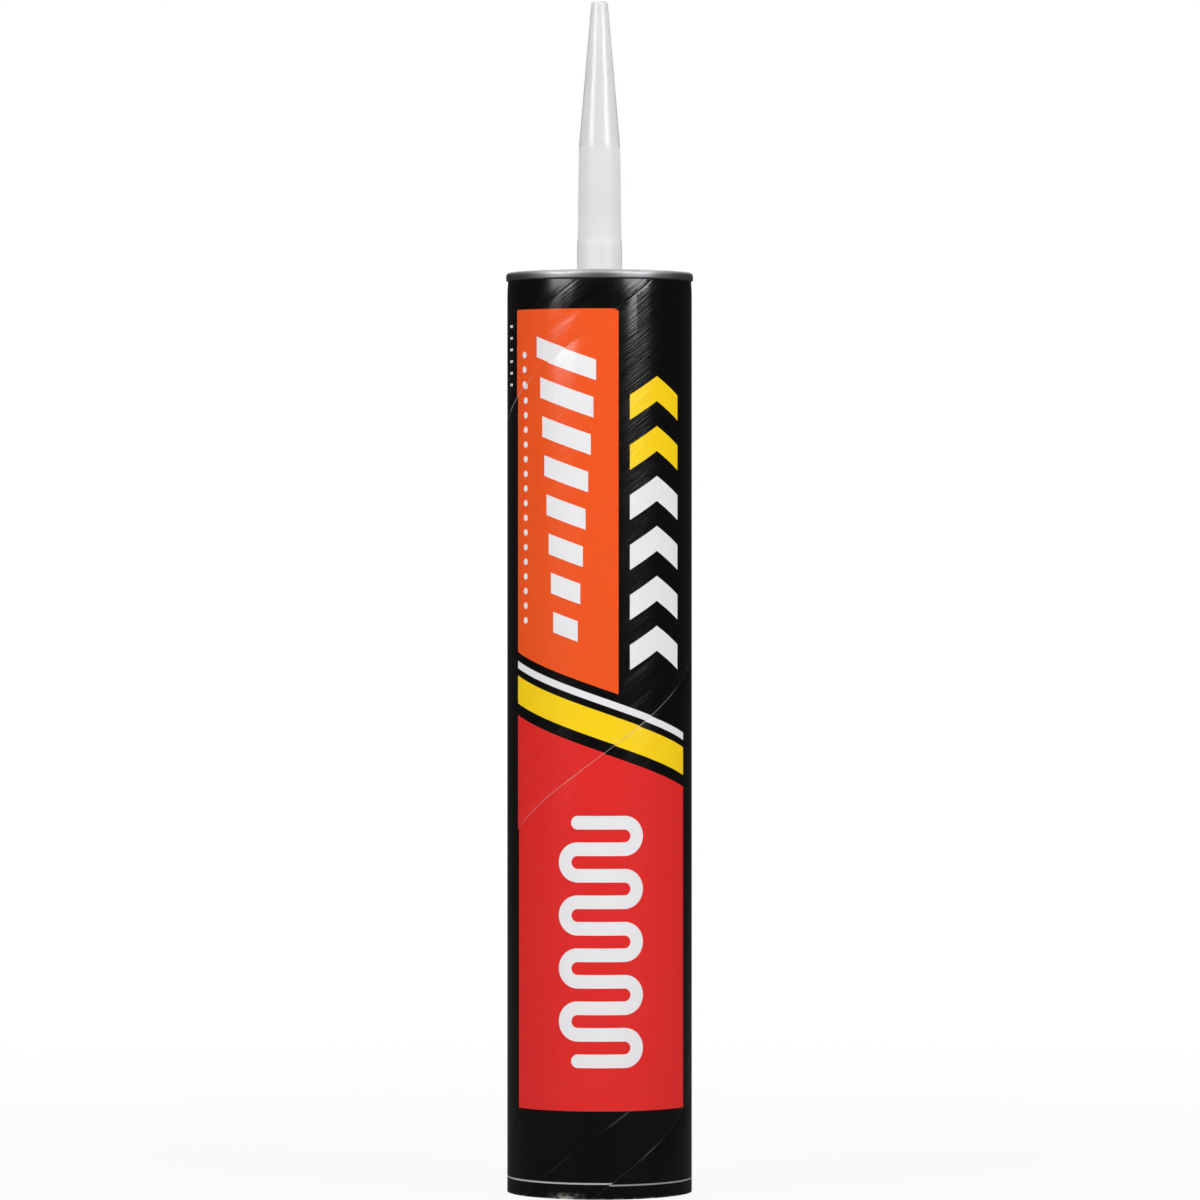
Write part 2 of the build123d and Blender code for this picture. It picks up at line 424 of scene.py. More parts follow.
def makePrintMaterial():
    material, tree, shader = newMaterial("spiralPrint", IOR=1.5)

    def calc(operation, first, second=0.0):
        return maths(tree, operation, first, second)
    place = objectPlace(tree)
    height, angle, away = roundPlace(tree, place)
    climb = calc("DIVIDE", calc("SUBTRACT", height, wrap["frontHeight"]), wrap["lead"])
    climb = calc("SUBTRACT", climb, calc("DIVIDE", angle, fullTurn))
    turn = calc("FLOOR", climb)
    aboveSeam = calc("MULTIPLY", calc("SUBTRACT", climb, turn), wrap["lead"])
    out = calc("MULTIPLY", turn, ramp(tree, calc("ABSOLUTE", angle), 1.9, 2.4, 1.0, 0.0))
    aside = calc("MULTIPLY", out, artwork["registerAround"])
    across = calc("ADD", calc("MULTIPLY", angle, wrap["radius"]), aside)
    up = calc("SUBTRACT", height, calc("MULTIPLY", out, artwork["registerUp"]))
    colour = printedArtwork(tree, across, up)
    ring = both(tree, band(tree, up, *artwork["ring"], 0.12), ramp(tree, turn, -0.9, -0.1, 0.6, 1.0))
    colour = paint(tree, colour, ring, artwork["paper"])
    fromBack = calc("SUBTRACT", angle, calc("MULTIPLY", calc("SIGN", angle), math.pi))
    colour = printedBack(tree, colour, calc("MULTIPLY", fromBack, wrap["radius"]), height)

    # paper showing white at the strip's cut edges, in worn lengths, and on the upper ply crease
    along = unwind(tree, place, height, wrap["lead"])
    worn = noise(tree, stretch(tree, along, (1, 1, 0.3)), 120, 3)
    wear = ramp(tree, worn, 0.45, 0.8, 0.0, 0.15)
    for low, high, strength in wrap["frayed"]:
        frayed = both(tree, band(tree, height, low, high, 2.0), ramp(tree, worn, 0.3, 0.5, 0.3, strength))
        wear = calc("MAXIMUM", wear, frayed)
    edge = both(tree, ramp(tree, aboveSeam, 0.12, 0.36, 1.0, 0.0), wear)
    colour = paint(tree, colour, edge, artwork["paper"])
    ridge = calc("ABSOLUTE", calc("SUBTRACT", aboveSeam, wrap["plySeams"][1]))
    rubbedZone = noise(tree, place, 45, 1)
    rubbedRidge = both(tree, ramp(tree, ridge, 0.0, 0.6, 0.12, 0.0),
                       ramp(tree, height, 30.0, 60.0, 1.0, 0.0),
                       ramp(tree, worn, 0.35, 0.6), ramp(tree, rubbedZone, 0.45, 0.6))
    colour = paint(tree, colour, rubbedRidge, artwork["paper"])
    # rubbed ink at the foot: a scuff on the front, and a thin broken line all round
    rubbed = noise(tree, stretch(tree, place, (1, 1, 1.6)), 420, 4, 0.6)
    scuff = both(tree, band(tree, angle, *wrap["scuff"], 0.12), ramp(tree, height, 0.3, 2.4, 0.75, 0.0),
                 ramp(tree, rubbed, 0.4, 0.62))
    colour = paint(tree, colour, scuff, artwork["paper"])
    footLine = both(tree, ramp(tree, height, 0.1, 0.6, 0.4, 0.0), ramp(tree, rubbed, 0.48, 0.66))
    colour = paint(tree, colour, footLine, artwork["paper"])
    tree.links.new(colour, shader.inputs["Base Color"])

    # the winding leaves long soft wrinkles and a fibrous grain, and the varnish a fine mottle
    wrinkle = noise(tree, stretch(tree, along, (1, 1, 0.14)), 260, 3, 0.6)
    fibre = noise(tree, stretch(tree, along, (1, 1, 0.16)), 900, 2, 0.5)
    mottle = noise(tree, place, 1400, 2)
    roughness = ramp(tree, calc("ADD", wrinkle, mottle), 0.7, 1.3, 0.14, 0.24)
    tree.links.new(roughness, shader.inputs["Roughness"])
    relief = bump(tree, wrinkle, 0.03)
    relief = bump(tree, fibre, 0.06, relief)
    relief = bump(tree, mottle, 0.012, relief)
    tree.links.new(relief, shader.inputs["Normal"])
    return material


def drawInNeck(piece):
    makeActive(piece)
    bpy.ops.object.mode_set(mode="EDIT")
    rise = wrap["top"] - wrap["neckFoot"]
    for k in range(wrap["neckCuts"]):
        bpy.ops.mesh.select_all(action="SELECT")
        height = wrap["neckFoot"] + rise * k / wrap["neckCuts"]
        bpy.ops.mesh.bisect(plane_co=(0, 0, height * mm), plane_no=(0, 0, 1))
    mesh = bmesh.from_edit_mesh(piece.data)
    for vertex in mesh.verts:
        reach = max(0.0, vertex.co.z / mm - wrap["neckFoot"]) / rise
        inward = 1 - wrap["neckDepth"] * reach ** 2 / wrap["radius"]
        vertex.co.x *= inward
        vertex.co.y *= inward
    bmesh.update_edit_mesh(piece.data)
    bpy.ops.object.mode_set(mode="OBJECT")


def levelFoot(piece):
    makeActive(piece)
    bpy.ops.object.mode_set(mode="EDIT")
    mesh = bmesh.from_edit_mesh(piece.data)
    for vertex in mesh.verts:
        vertex.co.z = max(vertex.co.z, wrap["foot"] * mm)
    bmesh.update_edit_mesh(piece.data)
    bpy.ops.object.mode_set(mode="OBJECT")


def makePrintedWrap():
    length = wrap["lead"] - wrap["gap"]
    dip, flank = wrap["edgeRound"], wrap["edgeWidth"]
    stops = {0.0: -dip, flank: 0.0, length - flank: 0.0, length: -dip}
    for seam in wrap["plySeams"]:
        stops.update({seam - wrap["plyWidth"]: 0.0, seam: -wrap["plyDepth"], seam + wrap["plyWidth"]: 0.0})
    for row in wrap["plainRows"]:
        stops[row] = 0.0
    # the drawn edge stands at the right side, a quarter turn from the front, two turns below the foot
    start = wrap["frontHeight"] + wrap["lead"] / 4 - 2 * wrap["lead"]
    path = [(wrap["radius"] + stops[v], start + v) for v in sorted(stops)]
    piece = drawPath("printedWrap", path)
    applyModifier(piece, "SCREW", axis="Z", angle=fullTurn, steps=wrap["stepsPerTurn"],
                  render_steps=wrap["stepsPerTurn"], screw_offset=wrap["lead"] * mm, iterations=4)
    cutFlat(piece, wrap["foot"], above=False)
    cutFlat(piece, wrap["top"], above=True)
    drawInNeck(piece)
    faceOutward(piece, (wrap["radius"], 0, 150), (1, 0, 0))
    applyModifier(piece, "SOLIDIFY", thickness=wrap["thickness"] * mm, offset=-1.0)
    levelFoot(piece)
    finishPiece(piece, "label", makePrintMaterial())


makePrintedWrap()


# wound tube: board plies, with a lined bore

tube = {
    "bore": 30.15,
    "outside": 31.5,
    "neckFoot": 306.5,
    "wrapTop": 312.75,
    "neck": 31.28,
    "crimp": 31.2,
    "flareFoot": 313.15,
    "flare": 31.82,
    "top": 315.65,
    "topRound": 1.15,           # outer edge, inside the rim
    "boreRound": 0.42,
    "plies": 5,
    "plyGroove": 0.08,          # depth and half the width of the joints on the foot
    "plyGrooveHalf": 0.07,
    "footRound": 0.08,
    "rows": (40.0, 150.0),      # heights of the mesh's plain rows
    "linerLead": 132.0,
    "steps": 160,
}


def makeBoardMaterial():
    material, tree, shader = newMaterial("woundBoard", IOR=1.45)
    place = objectPlace(tree)
    height, angle, away = roundPlace(tree, place)
    fibre = noise(tree, stretch(tree, place, (1, 1, 2.5)), 1500, 4, 0.6)
    cloud = noise(tree, place, 120, 2)
    kraft = paint(tree, screenColour(138, 106, 72), fibre, screenColour(186, 152, 110))
    waves = fullTurn * tube["plies"] / (tube["outside"] - tube["bore"])
    ply = maths(tree, "SINE", maths(tree, "MULTIPLY", away, waves))
    kraft = paint(tree, kraft, ramp(tree, ply, 0.3, 1.0, 0.0, 0.45), screenColour(112, 84, 56))
    outside = paint(tree, screenColour(176, 170, 160), cloud, screenColour(205, 200, 192))
    onOutside = ramp(tree, away, tube["outside"] - 0.12, tube["outside"] - 0.06)
    colour = paint(tree, kraft, onOutside, outside)

    # the liner is a grey barrier paper with its own spiral lap
    along = unwind(tree, place, height, -tube["linerLead"])
    streak = noise(tree, stretch(tree, along, (1, 1, 0.1)), 240, 3)
    liner = paint(tree, screenColour(150, 146, 138), streak, screenColour(182, 178, 168))
    climb = maths(tree, "ADD", maths(tree, "DIVIDE", height, tube["linerLead"]),
                  maths(tree, "DIVIDE", angle, fullTurn))
    lap = maths(tree, "MULTIPLY", maths(tree, "FRACT", climb), tube["linerLead"])
    liner = paint(tree, liner, ramp(tree, lap, 0.0, 0.5, 0.7, 0.0), screenColour(96, 90, 80))
    inBore = ramp(tree, away, tube["bore"] + 0.02, tube["bore"] + 0.06, 1.0, 0.0)
    colour = paint(tree, colour, inBore, liner)
    tree.links.new(colour, shader.inputs["Base Color"])
    tree.links.new(ramp(tree, inBore, 0.0, 1.0, 0.9, 0.5), shader.inputs["Roughness"])
    relief = bump(tree, fibre, 0.05)
    relief = bump(tree, ramp(tree, lap, 0.0, 0.6), 0.1, relief)
    tree.links.new(relief, shader.inputs["Normal"])
    return material


def makeWoundTube():
    t = tube
    lowRow, highRow = t["rows"]
    corners = [(t["bore"], lowRow, 0), (t["bore"], 0.0, t["footRound"])]
    ply = (t["outside"] - t["bore"]) / t["plies"]
    half = t["plyGrooveHalf"]
    for k in range(1, t["plies"]):
        seam = t["bore"] + k * ply
        corners += [(seam - half, 0.0, 0), (seam, t["plyGroove"], 0), (seam + half, 0.0, 0)]
    corners += [
        (t["outside"], 0.0, t["footRound"]),
        (t["outside"], highRow, 0),
        (t["outside"], t["neckFoot"], 0),
        (t["neck"], t["wrapTop"], 0),
        (t["crimp"], t["wrapTop"], 0),
        (t["crimp"], t["flareFoot"], 0),
        (t["flare"], t["flareFoot"] + t["flare"] - t["crimp"], 0),
        (t["flare"], t["top"], t["topRound"]),
        (t["bore"], t["top"], t["boreRound"]),
        (t["bore"], highRow, 0),
        (t["bore"], lowRow, 0),
    ]
    piece = turnPath("woundTube", roundedPath(corners, 4), t["steps"])
    finishPiece(piece, "tube", makeBoardMaterial())


makeWoundTube()


# rolled end: one stamped sheet, seamed over the tube

end = {
    "sheet": 0.3,
    "hole": 7.6,
    "panel": 312.4,
    "beadIn": 17.0,
    "beadOut": 23.0,
    "beadRise": 0.8,
    "beadRound": 0.4,
    "chuck": 29.8,
    "cornerRound": 0.6,
    "top": 316.0,
    "rim": 32.17,
    "crownRound": 1.5,          # outer bend of the rim
    "chuckRound": 0.77,         # inner bend
    "curlFoot": 312.8,
    "curl": 31.25,
    "curlRound": 0.6,
    "shadedSkirtTop": 315.4,           # painted shade darkens the skirt up to here
    "steps": 200,
}


def makeTinplateMaterial():
    material, tree, shader = newMaterial("tinplate", Metallic=1.0)
    place = objectPlace(tree)
    height, angle, away = roundPlace(tree, place)
    grain = noise(tree, stretch(tree, place, (0.05, 1, 1)), 2600, 3, 0.6)
    tarnish = noise(tree, place, 140, 4, 0.6)
    spots = ramp(tree, tarnish, 0.4, 0.75)
    colour = paint(tree, screenColour(176, 177, 179), spots, screenColour(160, 161, 164))
    # painted shade: the rim's skirt gets a darker base colour, standing in for the shade it sits in
    shadedSkirt = both(tree, ramp(tree, away, end["rim"] - 1.5, end["rim"] - 0.5),
                   ramp(tree, height, end["shadedSkirtTop"] - 1.0, end["shadedSkirtTop"], 1.0, 0.0))
    colour = paint(tree, colour, shadedSkirt, screenColour(139, 140, 143))  # painted shade: the skirt is darkened where it reflects less light
    tree.links.new(colour, shader.inputs["Base Color"])
    # the seaming roll leaves fine rings on the rim
    rings = noise(tree, turnedPlace(tree, away, height), 14, 2)
    onRim = ramp(tree, away, end["chuck"] - 0.5, end["chuck"])
    roughness = maths(tree, "ADD", ramp(tree, grain, 0.3, 0.7, 0.4, 0.46),
                      ramp(tree, tarnish, 0.4, 0.8, 0.0, 0.08))
    tree.links.new(roughness, shader.inputs["Roughness"])
    relief = bump(tree, grain, 0.0008)
    relief = bump(tree, both(tree, rings, onRim), 0.002, relief)
    tree.links.new(relief, shader.inputs["Normal"])
    return material


def makeRolledEnd():
    e = end
    corners = [
        (e["hole"], e["panel"], 0),
        (e["beadIn"], e["panel"], e["beadRound"]),
        (e["beadIn"] + e["beadRise"], e["panel"] + e["beadRise"], e["beadRound"]),
        (e["beadOut"] - e["beadRise"], e["panel"] + e["beadRise"], e["beadRound"]),
        (e["beadOut"], e["panel"], e["beadRound"]),
        (e["chuck"], e["panel"], e["cornerRound"]),
        (e["chuck"], e["top"], e["chuckRound"]),
        (e["rim"], e["top"], e["crownRound"]),
        (e["rim"], e["curlFoot"], e["curlRound"]),
        (e["curl"], e["curlFoot"], 0),
    ]
    piece = turnPath("rolledEnd", roundedPath(corners, 8), e["steps"])
    faceOutward(piece, (20, 0, 320), (0, 0, 1))
    applyModifier(piece, "SOLIDIFY", thickness=e["sheet"] * mm, offset=-1.0, use_even_offset=True)
    finishPiece(piece, "metal_end", makeTinplateMaterial())


makeRolledEnd()


# nozzle: hollow moulding, closed at the tip, clipped into the panel

nozzle = {
    "flangeFoot": 310.65,
    "flangeTop": 312.05,
    "flange": 13.0,
    "neck": 7.55,
    "collarFoot": 312.45,
    "collarBase": 7.8,
    "collarTop": 7.675,
    "step": 326.2,
    "stepLength": 1.6,
    "shankBase": 7.475,
    "shankTop": 7.05,
    "taper": 359.2,
    "taperRound": 1.5,
    "tip": 409.4,
    "tipRadius": 2.8,
    "tipRound": 1.2,
    "gateRadius": 0.6,
    "gateFloor": 0.42,
    "gateDepth": 0.25,
    "wall": 1.3,
    "tipWall": 2.5,
    "shadedTaper": 15.0,          # lengths over which painted shade darkens the plastic, at the taper and at the tip
    "shadedTip": 8.0,
    "flangeRound": 0.3,
    "collarRound": 0.15,
    "stepRound": 3.0,
    "partingProud": 0.05,
    "partingEnds": (0.5, 2.0),  # where the parting line stops, from the collar's foot and from the tip
    "steps": 120,
}


def makeNozzleMaterial():
    material, tree, shader = newMaterial(
        "nozzlePlastic", IOR=1.5, Specular_IOR_Level=0.35,
        Subsurface_Radius=(1.0, 1.0, 0.97), Subsurface_Scale=0.006)
    place = objectPlace(tree)
    height, angle, away = roundPlace(tree, place)
    cloud = noise(tree, place, 90, 2)
    colour = paint(tree, screenColour(241, 241, 240), cloud, screenColour(246, 246, 246))
    # painted shade: the colour gets darker up the taper and towards the tip
    taper, tip = nozzle["taper"], nozzle["tip"]
    paintedShade = maths(tree, "ADD", ramp(tree, height, taper, taper + nozzle["shadedTaper"], 0.0, 0.3),
                  ramp(tree, height, tip - nozzle["shadedTip"], tip, 0.0, 0.6))
    colour = paint(tree, colour, paintedShade, screenColour(212, 212, 212))
    tree.links.new(colour, shader.inputs["Base Color"])
    # the wall lets less light through towards the foot
    sheer = ramp(tree, height, nozzle["step"] - 6.0, nozzle["step"] + 10.0, 0.42, 0.87)
    tree.links.new(sheer, shader.inputs["Subsurface Weight"])
    # the shank keeps the mould's matt finish, the taper and the collar are polished
    matt = band(tree, height, nozzle["step"] + 0.8, nozzle["taper"] - 0.1, 0.2)
    grain = noise(tree, place, 2400, 2)
    polished = ramp(tree, height, nozzle["step"], nozzle["taper"], 0.36, 0.2)
    roughness = maths(tree, "ADD", polished, maths(tree, "MULTIPLY", matt, 0.3))
    roughness = maths(tree, "ADD", roughness, ramp(tree, grain, 0.3, 0.7, -0.03, 0.03))
    tree.links.new(roughness, shader.inputs["Roughness"])
    flow = noise(tree, stretch(tree, place, (1, 1, 0.08)), 500, 2)
    relief = bump(tree, grain, 0.006)
    relief = bump(tree, flow, 0.02, relief)
    tree.links.new(relief, shader.inputs["Normal"])
    return material


def makeNozzleMoulding():
    n = nozzle
    ductEnd = n["tip"] - n["tipWall"]
    taperPart = n["tipWall"] / (n["tip"] - n["taper"])
    ductEndRadius = n["tipRadius"] + (n["shankTop"] - n["tipRadius"]) * taperPart - n["wall"]
    corners = [
        (n["neck"] - n["wall"], n["flangeFoot"], 0),
        (n["flange"], n["flangeFoot"], n["flangeRound"]),
        (n["flange"], n["flangeTop"], n["flangeRound"]),
        (n["neck"], n["flangeTop"], 0),
        (n["neck"], n["collarFoot"], 0),
        (n["collarBase"], n["collarFoot"], n["collarRound"]),
        (n["collarTop"], n["step"], n["stepRound"]),
        (n["shankBase"], n["step"] + n["stepLength"], n["stepRound"]),
        (n["shankTop"], n["taper"], n["taperRound"]),
        (n["tipRadius"], n["tip"], n["tipRound"]),
        (n["gateRadius"], n["tip"], 0),
        (n["gateFloor"], n["tip"] - n["gateDepth"], 0),
        (0, n["tip"] - n["gateDepth"], 0),
        (0, ductEnd, 0),
        (ductEndRadius, ductEnd, 0),
        (n["shankTop"] - n["wall"], n["taper"], 0),
        (n["neck"] - n["wall"], n["flangeFoot"], 0),
    ]
    piece = turnPath("nozzleMoulding", roundedPath(corners, 6), n["steps"])

    # parting line of the mould, a fine ridge up both sides
    narrowing = (n["shankTop"] - n["tipRadius"]) / (n["tip"] - n["taper"])
    lineFoot, lineTop = n["collarFoot"] + n["partingEnds"][0], n["tip"] - n["partingEnds"][1]
    makeActive(piece)
    bpy.ops.object.mode_set(mode="EDIT")
    bpy.ops.mesh.select_all(action="DESELECT")
    mesh = bmesh.from_edit_mesh(piece.data)
    for vertex in mesh.verts:
        x, y, z = vertex.co / mm
        outside = math.hypot(x, y) > n["shankTop"] - 0.5 - max(0.0, z - n["taper"]) * narrowing
        onLine = abs(y) < 0.02 and lineFoot < z < lineTop
        if outside and onLine:
            vertex.co.x *= 1 + n["partingProud"] / abs(x)
    bmesh.update_edit_mesh(piece.data)
    bpy.ops.object.mode_set(mode="OBJECT")
    finishPiece(piece, "nozzle", makeNozzleMaterial(), sharpAngle=50)


makeNozzleMoulding()


# foil seal under the nozzle

seal = {"radius": 10.0, "foot": 310.53, "thickness": 0.12, "bondWidth": 2.5, "dip": 0.04, "dipWidth": 0.6}


def makeFoilMaterial():
    material, tree, shader = newMaterial("sealFoil", Metallic=1.0)
    place = objectPlace(tree)
    crease = noise(tree, place, 420, 3)
    colour = paint(tree, screenColour(206, 207, 210), crease, screenColour(228, 228, 230))
    tree.links.new(colour, shader.inputs["Base Color"])
    tree.links.new(ramp(tree, crease, 0.3, 0.7, 0.22, 0.38), shader.inputs["Roughness"])
    tree.links.new(bump(tree, crease, 0.05), shader.inputs["Normal"])
    return material


def makeFoilSeal():
    deselectAll()
    bpy.ops.mesh.primitive_circle_add(vertices=96, radius=seal["radius"] * mm, fill_type="NGON",
                                      location=(0, 0, seal["foot"] * mm))
    piece = bpy.context.object
    piece.name = "foilSeal"
    bpy.ops.object.transform_apply(location=True)
    bpy.ops.object.mode_set(mode="EDIT")
    bpy.ops.mesh.select_all(action="SELECT")
    bpy.ops.mesh.extrude_region_move(TRANSFORM_OT_translate={"value": (0, 0, seal["thickness"] * mm)})
    bpy.ops.mesh.inset(thickness=seal["bondWidth"] * mm)
    bpy.ops.transform.translate(value=(0, 0, -seal["dip"] * mm))
    bpy.ops.mesh.inset(thickness=seal["dipWidth"] * mm)
    bpy.ops.mesh.select_all(action="SELECT")
    bpy.ops.mesh.normals_make_consistent(inside=False)
    bpy.ops.object.mode_set(mode="OBJECT")
    finishPiece(piece, "inner_seal", makeFoilMaterial())


makeFoilSeal()


# plunger: domed cup with two wipers, and ribs that carry the ram

plunger = {
    "foot": 5.5,
    "wiper": 30.05,
    "wiperHeight": 2.4,
    "relief": 0.7,
    "crownEdge": 19.5,
    "crownRise": 3.0,
    "crownThick": 1.8,
    "socket": 27.6,
    "well": 26.9,
    "ribFoot": 14.5,
    "ribCount": 8,
    "ribThick": 1.4,
    "ribSet": 0.12,             # ribs a little behind the ring and the hub
    "ring": 16.0,
    "ringWidth": 2.0,
    "hub": 6.0,
    "edgeRound": 0.2,
    "lipRound": 0.25,           # lips of the wipers
    "socketRound": 0.15,
    "mouthRound": 0.3,
    "reliefRound": 0.3,
    "ribOverrun": 0.2,          # each pair of ribs ends at its own height, inside the crown
    "steps": 128,
}


def domePoint(radius, outward=0.0):
    rise = plunger["crownRise"]
    domeRadius = (plunger["wiper"] ** 2 + rise ** 2) / (2 * rise)
    centre = plunger["crownEdge"] + rise - domeRadius
    return (radius, centre + math.sqrt((domeRadius + outward) ** 2 - radius ** 2))


def makePlungerMaterial():
    material, tree, shader = newMaterial("plungerPlastic", IOR=1.5, Subsurface_Weight=0.15,
                                         Subsurface_Radius=(1.0, 0.95, 0.85), Subsurface_Scale=0.003)
    place = objectPlace(tree)
    height, angle, away = roundPlace(tree, place)
    cloud = noise(tree, place, 60, 3)
    colour = paint(tree, screenColour(212, 211, 203), cloud, screenColour(226, 225, 219))
    flow = noise(tree, stretch(tree, place, (1, 1, 0.2)), 380, 2)
    turned = noise(tree, turnedPlace(tree, away, height), 6, 2)
    tree.links.new(colour, shader.inputs["Base Color"])
    tree.links.new(ramp(tree, cloud, 0.3, 0.7, 0.38, 0.5), shader.inputs["Roughness"])
    relief = bump(tree, flow, 0.02)
    relief = bump(tree, turned, 0.01, relief)
    tree.links.new(relief, shader.inputs["Normal"])
    return material


def joinSolid(piece, other, operation):
    applyModifier(piece, "BOOLEAN", object=other, operation=operation, solver="EXACT")
    bpy.data.objects.remove(other)


def makePlungerCup():
    p = plunger
    half = p["crownThick"] / 2
    reach = (p["socket"] + p["well"]) / 2
    lowTop, highFoot = p["foot"] + p["wiperHeight"], p["crownEdge"] - p["wiperHeight"]
    relief = p["wiper"] - p["relief"]
    lip = p["lipRound"]
    inner = [domePoint(p["well"] * k / 10, -p["crownThick"]) for k in range(11)]
    outer = [domePoint(p["wiper"] * k / 12) for k in range(11, -1, -1)]
    skirt = roundedPath([
        (*inner[-1], 0),
        (p["well"], p["ribFoot"], 0),
        (p["socket"], p["ribFoot"], p["socketRound"]),
        (p["socket"], p["foot"], p["mouthRound"]),
        (p["wiper"], p["foot"], lip),
        (p["wiper"], lowTop, lip),
        (relief, lowTop + p["relief"], p["reliefRound"]),
        (relief, highFoot - p["relief"], p["reliefRound"]),
        (p["wiper"], highFoot, lip),
        (p["wiper"], p["crownEdge"], lip),
        (*outer[0], 0),
    ], 4)
    shell = turnPath("plungerCup", inner[:-1] + skirt + outer[1:] + inner[:1], p["steps"])

    # ribs, drive ring and hub, trimmed to end inside the crown
    roof = p["crownEdge"] + p["crownRise"]
    middle = (p["ribFoot"] + roof) / 2
    deselectAll()
    bpy.ops.mesh.primitive_cylinder_add(vertices=64, radius=p["hub"] * mm, depth=(roof - p["ribFoot"]) * mm,
                                        location=(0, 0, middle * mm))
    ribbing = bpy.context.object
    bpy.ops.object.transform_apply(location=True)
    ringIn, ringOut = p["ring"] - p["ringWidth"] / 2, p["ring"] + p["ringWidth"] / 2
    ringPath = [(ringIn, p["ribFoot"]), (ringOut, p["ribFoot"]), (ringOut, roof), (ringIn, roof)]
    ringPath += ringPath[:1]
    joinSolid(ribbing, turnPath("driveRing", ringPath, p["steps"]), "UNION")
    for k in range(p["ribCount"] // 2):
        low, high = p["ribFoot"] + p["ribSet"], roof + p["ribOverrun"] * (k + 1)
        deselectAll()
        bpy.ops.mesh.primitive_cube_add(size=1, location=(0, 0, (low + high) / 2 * mm),
                                        rotation=(0, 0, k * fullTurn / p["ribCount"]),
                                        scale=(2 * reach * mm, p["ribThick"] * mm, (high - low) * mm))
        rib = bpy.context.object
        bpy.ops.object.transform_apply(location=True, rotation=True, scale=True)
        joinSolid(ribbing, rib, "UNION")
    under = [(0, p["ribFoot"] - 1.0), (reach, p["ribFoot"] - 1.0)]
    under += [domePoint(reach * k / 10, -half) for k in range(10, -1, -1)] + under[:1]
    joinSolid(ribbing, turnPath("underCrown", under, p["steps"]), "INTERSECT")
    joinSolid(shell, ribbing, "UNION")
    applyModifier(shell, "BEVEL", width=p["edgeRound"] * mm, segments=2, limit_method="ANGLE",
                  angle_limit=math.radians(50), use_clamp_overlap=True)
    finishPiece(shell, "plunger", makePlungerMaterial(), body="plunger")


makePlungerCup()


# adhesive: the soft fill, pressed up as the plunger rises

fill = {"radius": 30.1, "top": 310.48, "topRound": 0.5, "rows": (120.0, 220.0), "clearance": 0.3,
        "keep": 0.0012, "steps": 96}


def makePasteMaterial():
    material, tree, shader = newMaterial("adhesivePaste", IOR=1.45, Subsurface_Weight=0.1,
                                         Subsurface_Radius=(1.0, 0.7, 0.4), Subsurface_Scale=0.002)
    place = objectPlace(tree)
    lump = noise(tree, place, 160, 4)
    colour = paint(tree, screenColour(198, 172, 128), lump, screenColour(222, 200, 160))
    tree.links.new(colour, shader.inputs["Base Color"])
    tree.links.new(ramp(tree, lump, 0.3, 0.7, 0.35, 0.6), shader.inputs["Roughness"])
    tree.links.new(bump(tree, lump, 0.3), shader.inputs["Normal"])
    return material


def makeAdhesiveFill():
    f = fill
    dome = [domePoint(f["radius"] * k / 12, f["clearance"]) for k in range(13)]
    rows = [(f["radius"], row, 0) for row in f["rows"]]
    wall = roundedPath([(*dome[-1], 0), *rows, (f["radius"], f["top"], f["topRound"]), (0, f["top"], 0)], 4)
    piece = turnPath("adhesiveFill", dome[:-1] + wall + dome[:1], f["steps"])
    finishPiece(piece, "adhesive", makePasteMaterial())
    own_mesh(piece)


makeAdhesiveFill()


# floor, light and camera

studio = {
    "floorSize": 12.0,
    "floorGlow": 0.88,
    "shadowReach": (150.0, 700.0),      # mm from the axis
    "ambient": 0.31,
    "boxes": ((-1.07, -0.90, 0.83, 0.7, 12.5), (1.03, -0.97, 0.82, 0.7, 14.0),
              (0.0, 1.8, 1.45, 1.3, 11.0)),         # x, y, z, size and power
    "aim": (0.0, 0.0, 0.25),
    "camera": (0.00015, -2.3, 0.225),
    "lens": 200.5,
    "shift": -0.0525,       # the photograph is cut close round the object
}


def makeFloor():
    deselectAll()
    bpy.ops.mesh.primitive_plane_add(size=studio["floorSize"])
    floor = bpy.context.object
    floor.name = "floor"
    material = bpy.data.materials.new("paleFloor")
    material.use_nodes = True
    tree = material.node_tree
    tree.nodes.clear()
    path = addNode(tree, "ShaderNodeLightPath").outputs
    seen = maths(tree, "MAXIMUM", path["Is Camera Ray"], path["Is Transmission Ray"])
    height, angle, away = roundPlace(tree, objectPlace(tree))
    # white all over, and only near the part does it keep a shadow
    glow = ramp(tree, away, studio["shadowReach"][0], studio["shadowReach"][1], studio["floorGlow"], 1.0)
    white = addNode(tree, "ShaderNodeEmission", inputs={"Strength": 1.0})
    lit = addNode(tree, "ShaderNodeBsdfDiffuse", inputs={"Color": (0.9, 0.9, 0.9, 1)})
    dim = addNode(tree, "ShaderNodeBsdfDiffuse", inputs={"Color": (0.1, 0.1, 0.1, 1)})
    bright = mixShaders(tree, glow, lit, white)
    plain = mixShaders(tree, path["Is Glossy Ray"], lit, dim)
    mix = mixShaders(tree, seen, plain, bright)
    # clear from below, and open under the bore, so the plunger shows there
    below = addNode(tree, "ShaderNodeNewGeometry").outputs["Backfacing"]
    underTube = ramp(tree, away, wrap["radius"] - 0.1, wrap["radius"] - 0.05, 1.0, 0.0)
    clear = addNode(tree, "ShaderNodeBsdfTransparent")
    mix = mixShaders(tree, maths(tree, "MAXIMUM", below, underTube), mix, clear)
    addNode(tree, "ShaderNodeOutputMaterial", inputs={"Surface": mix.outputs[0]})
    floor.data.materials.append(material)


